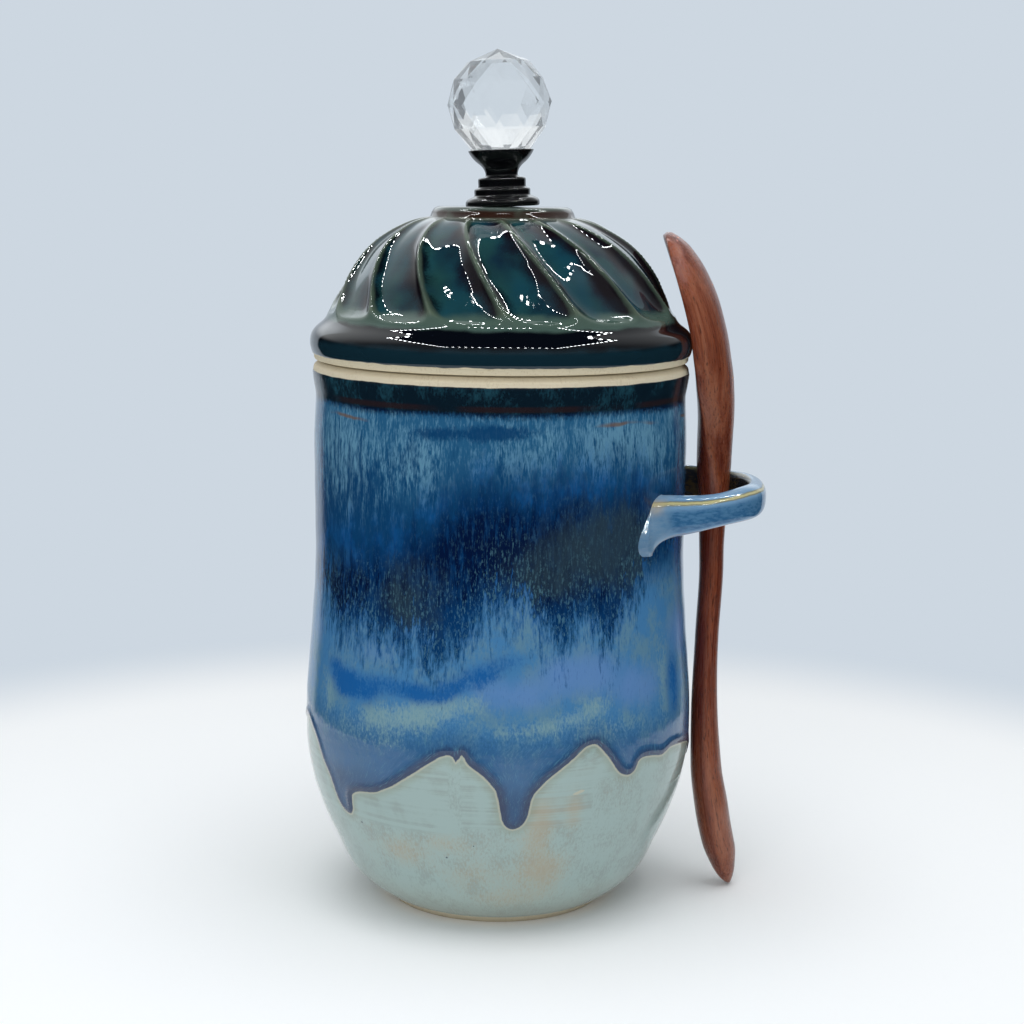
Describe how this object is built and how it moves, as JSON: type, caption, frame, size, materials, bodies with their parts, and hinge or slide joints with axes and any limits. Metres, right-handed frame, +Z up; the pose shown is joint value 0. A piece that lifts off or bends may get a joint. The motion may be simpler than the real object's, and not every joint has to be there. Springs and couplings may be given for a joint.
{
  "type": "lidded pot",
  "caption": "Glazed honey pot with a fluted lift-off lid, faceted glass knob and a wooden spoon standing in a side loop.",
  "frame": {"origin": "centre of the pot's flat foot, on the surface it stands on", "axes": "+Z up along the pot's axis, +X towards the spoon loop, +Y to the back"},
  "size_m": [0.1369, 0.1146, 0.2481],
  "materials": {
    "pot_glaze": "gloss blue glaze over pale celadon, bare cream clay at foot and rim",
    "loop_glaze": "gloss light blue glaze, tan where it thins on the edge",
    "lid_glaze": "gloss dark teal glaze, olive on the ridges",
    "black_metal": "satin black",
    "clear_glass": "cut and polished",
    "steel": "zinc plated",
    "rubber": "matt",
    "spoon_wood": "oiled reddish brown hardwood"
  },
  "bodies": {
    "pot": {"pot_body": "pot_glaze", "spoon_loop": "loop_glaze"},
    "lid": {"lid": "lid_glaze", "knob_base": "black_metal", "knob_crystal": "clear_glass", "knob_screw": "steel", "knob_washer": "steel", "knob_gasket": "rubber"},
    "spoon": {"spoon": "spoon_wood"}
  },
  "joints": [
    {"name": "lid_lift", "type": "slide", "parent": "pot", "child": "lid", "axis": [-0.3142, -0.0442, 0.9483], "range_m": [0, 0.075]},
    {"name": "spoon_lift", "type": "slide", "parent": "pot", "child": "spoon", "axis": [0, 0, 1], "range_m": [0, 0.13]}
  ]
}
